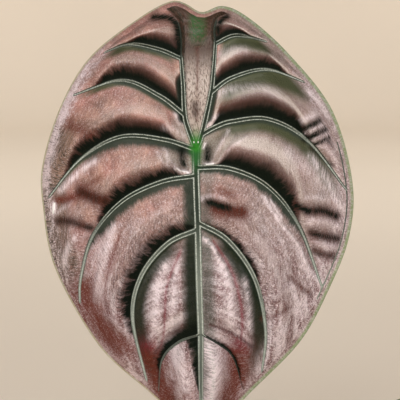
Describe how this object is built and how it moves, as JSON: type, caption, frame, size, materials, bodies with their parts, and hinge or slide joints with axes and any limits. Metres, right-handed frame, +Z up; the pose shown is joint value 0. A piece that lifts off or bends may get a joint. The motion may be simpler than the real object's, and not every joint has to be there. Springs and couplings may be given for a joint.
{
  "type": "potted alocasia plant",
  "caption": "Potted shield-leaf alocasia: quilted copper-pink blades with dark furrows and pale veins, on slender stalks in a plain clay pot.",
  "frame": {"origin": "centre of the pot's flat base", "axes": "+Z up, -Y towards the face of the large front leaf, +X to the viewer's right"},
  "size_m": [0.4306, 0.2763, 0.4722],
  "materials": {
    "blade": "metallic copper-pink sheen, near-black green along the veins",
    "stalk": "smooth, semi-gloss",
    "crown": "dull, fibrous",
    "mix": "coarse, matt",
    "clay": "unglazed, matt"
  },
  "bodies": {
    "root": {"pot": "clay", "potting_mix": "mix", "crown": "crown", "stalk_front": "stalk", "stalk_left": "stalk", "stalk_right": "stalk", "stalk_back": "stalk", "stalk_young": "stalk", "blade_front": "blade", "blade_left": "blade", "blade_right": "blade", "blade_back": "blade", "blade_young": "blade"}
  },
  "joints": []
}
